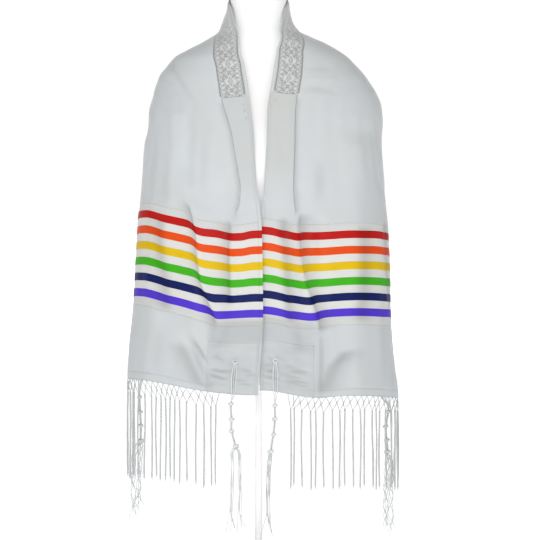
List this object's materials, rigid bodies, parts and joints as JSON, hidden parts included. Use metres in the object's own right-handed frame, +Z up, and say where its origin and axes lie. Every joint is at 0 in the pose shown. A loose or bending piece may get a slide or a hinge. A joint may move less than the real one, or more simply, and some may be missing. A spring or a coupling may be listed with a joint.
{
  "type": "tallit prayer shawl on a dress form",
  "caption": "Narrow prayer shawl with a brocade neckband, rainbow ribbon stripes, knotted fringe and corner tassels, worn open on a plain limbless dress form.",
  "frame": {"origin": "middle of the base's flat underside, on the floor", "axes": "+Z up; the shawl's open front faces -Y; +X is to the right as the front is looked at, the side named right"},
  "size_m": [0.5599, 0.32, 1.175],
  "materials": {
    "wool": "matt fine wool, off-white",
    "inset_cloth": "matt woven cloth, warm white",
    "brocade": "silver-grey floral brocade",
    "satin_red": "satin ribbon",
    "satin_orange": "satin ribbon",
    "satin_yellow": "satin ribbon",
    "satin_green": "satin ribbon",
    "satin_navy": "satin ribbon",
    "satin_violet": "satin ribbon",
    "form_shell": "smooth satin white",
    "stand_paint": "satin white paint"
  },
  "bodies": {
    "root": {"atara": "brocade", "body_back": "wool", "body_left": "wool", "body_right": "wool", "corner_patch_left_inner": "wool", "corner_patch_left_outer": "wool", "corner_patch_right_inner": "wool", "corner_patch_right_outer": "wool", "end_panel_left": "wool", "end_panel_right": "wool", "form_base": "stand_paint", "form_pole": "stand_paint", "form_torso": "form_shell", "fringe_left": "wool", "fringe_right": "wool", "hem_left": "wool", "hem_right": "wool", "inset_left": "inset_cloth", "inset_right": "inset_cloth", "pleat_left": "wool", "pleat_right": "wool", "ribbon_red_left": "satin_red", "ribbon_red_right": "satin_red", "ribbon_orange_left": "satin_orange", "ribbon_orange_right": "satin_orange", "ribbon_yellow_left": "satin_yellow", "ribbon_yellow_right": "satin_yellow", "ribbon_green_left": "satin_green", "ribbon_green_right": "satin_green", "ribbon_navy_left": "satin_navy", "ribbon_navy_right": "satin_navy", "ribbon_violet_left": "satin_violet", "ribbon_violet_right": "satin_violet", "tzitzit_left_inner": "wool", "tzitzit_left_outer": "wool", "tzitzit_right_inner": "wool", "tzitzit_right_outer": "wool"}
  },
  "joints": []
}
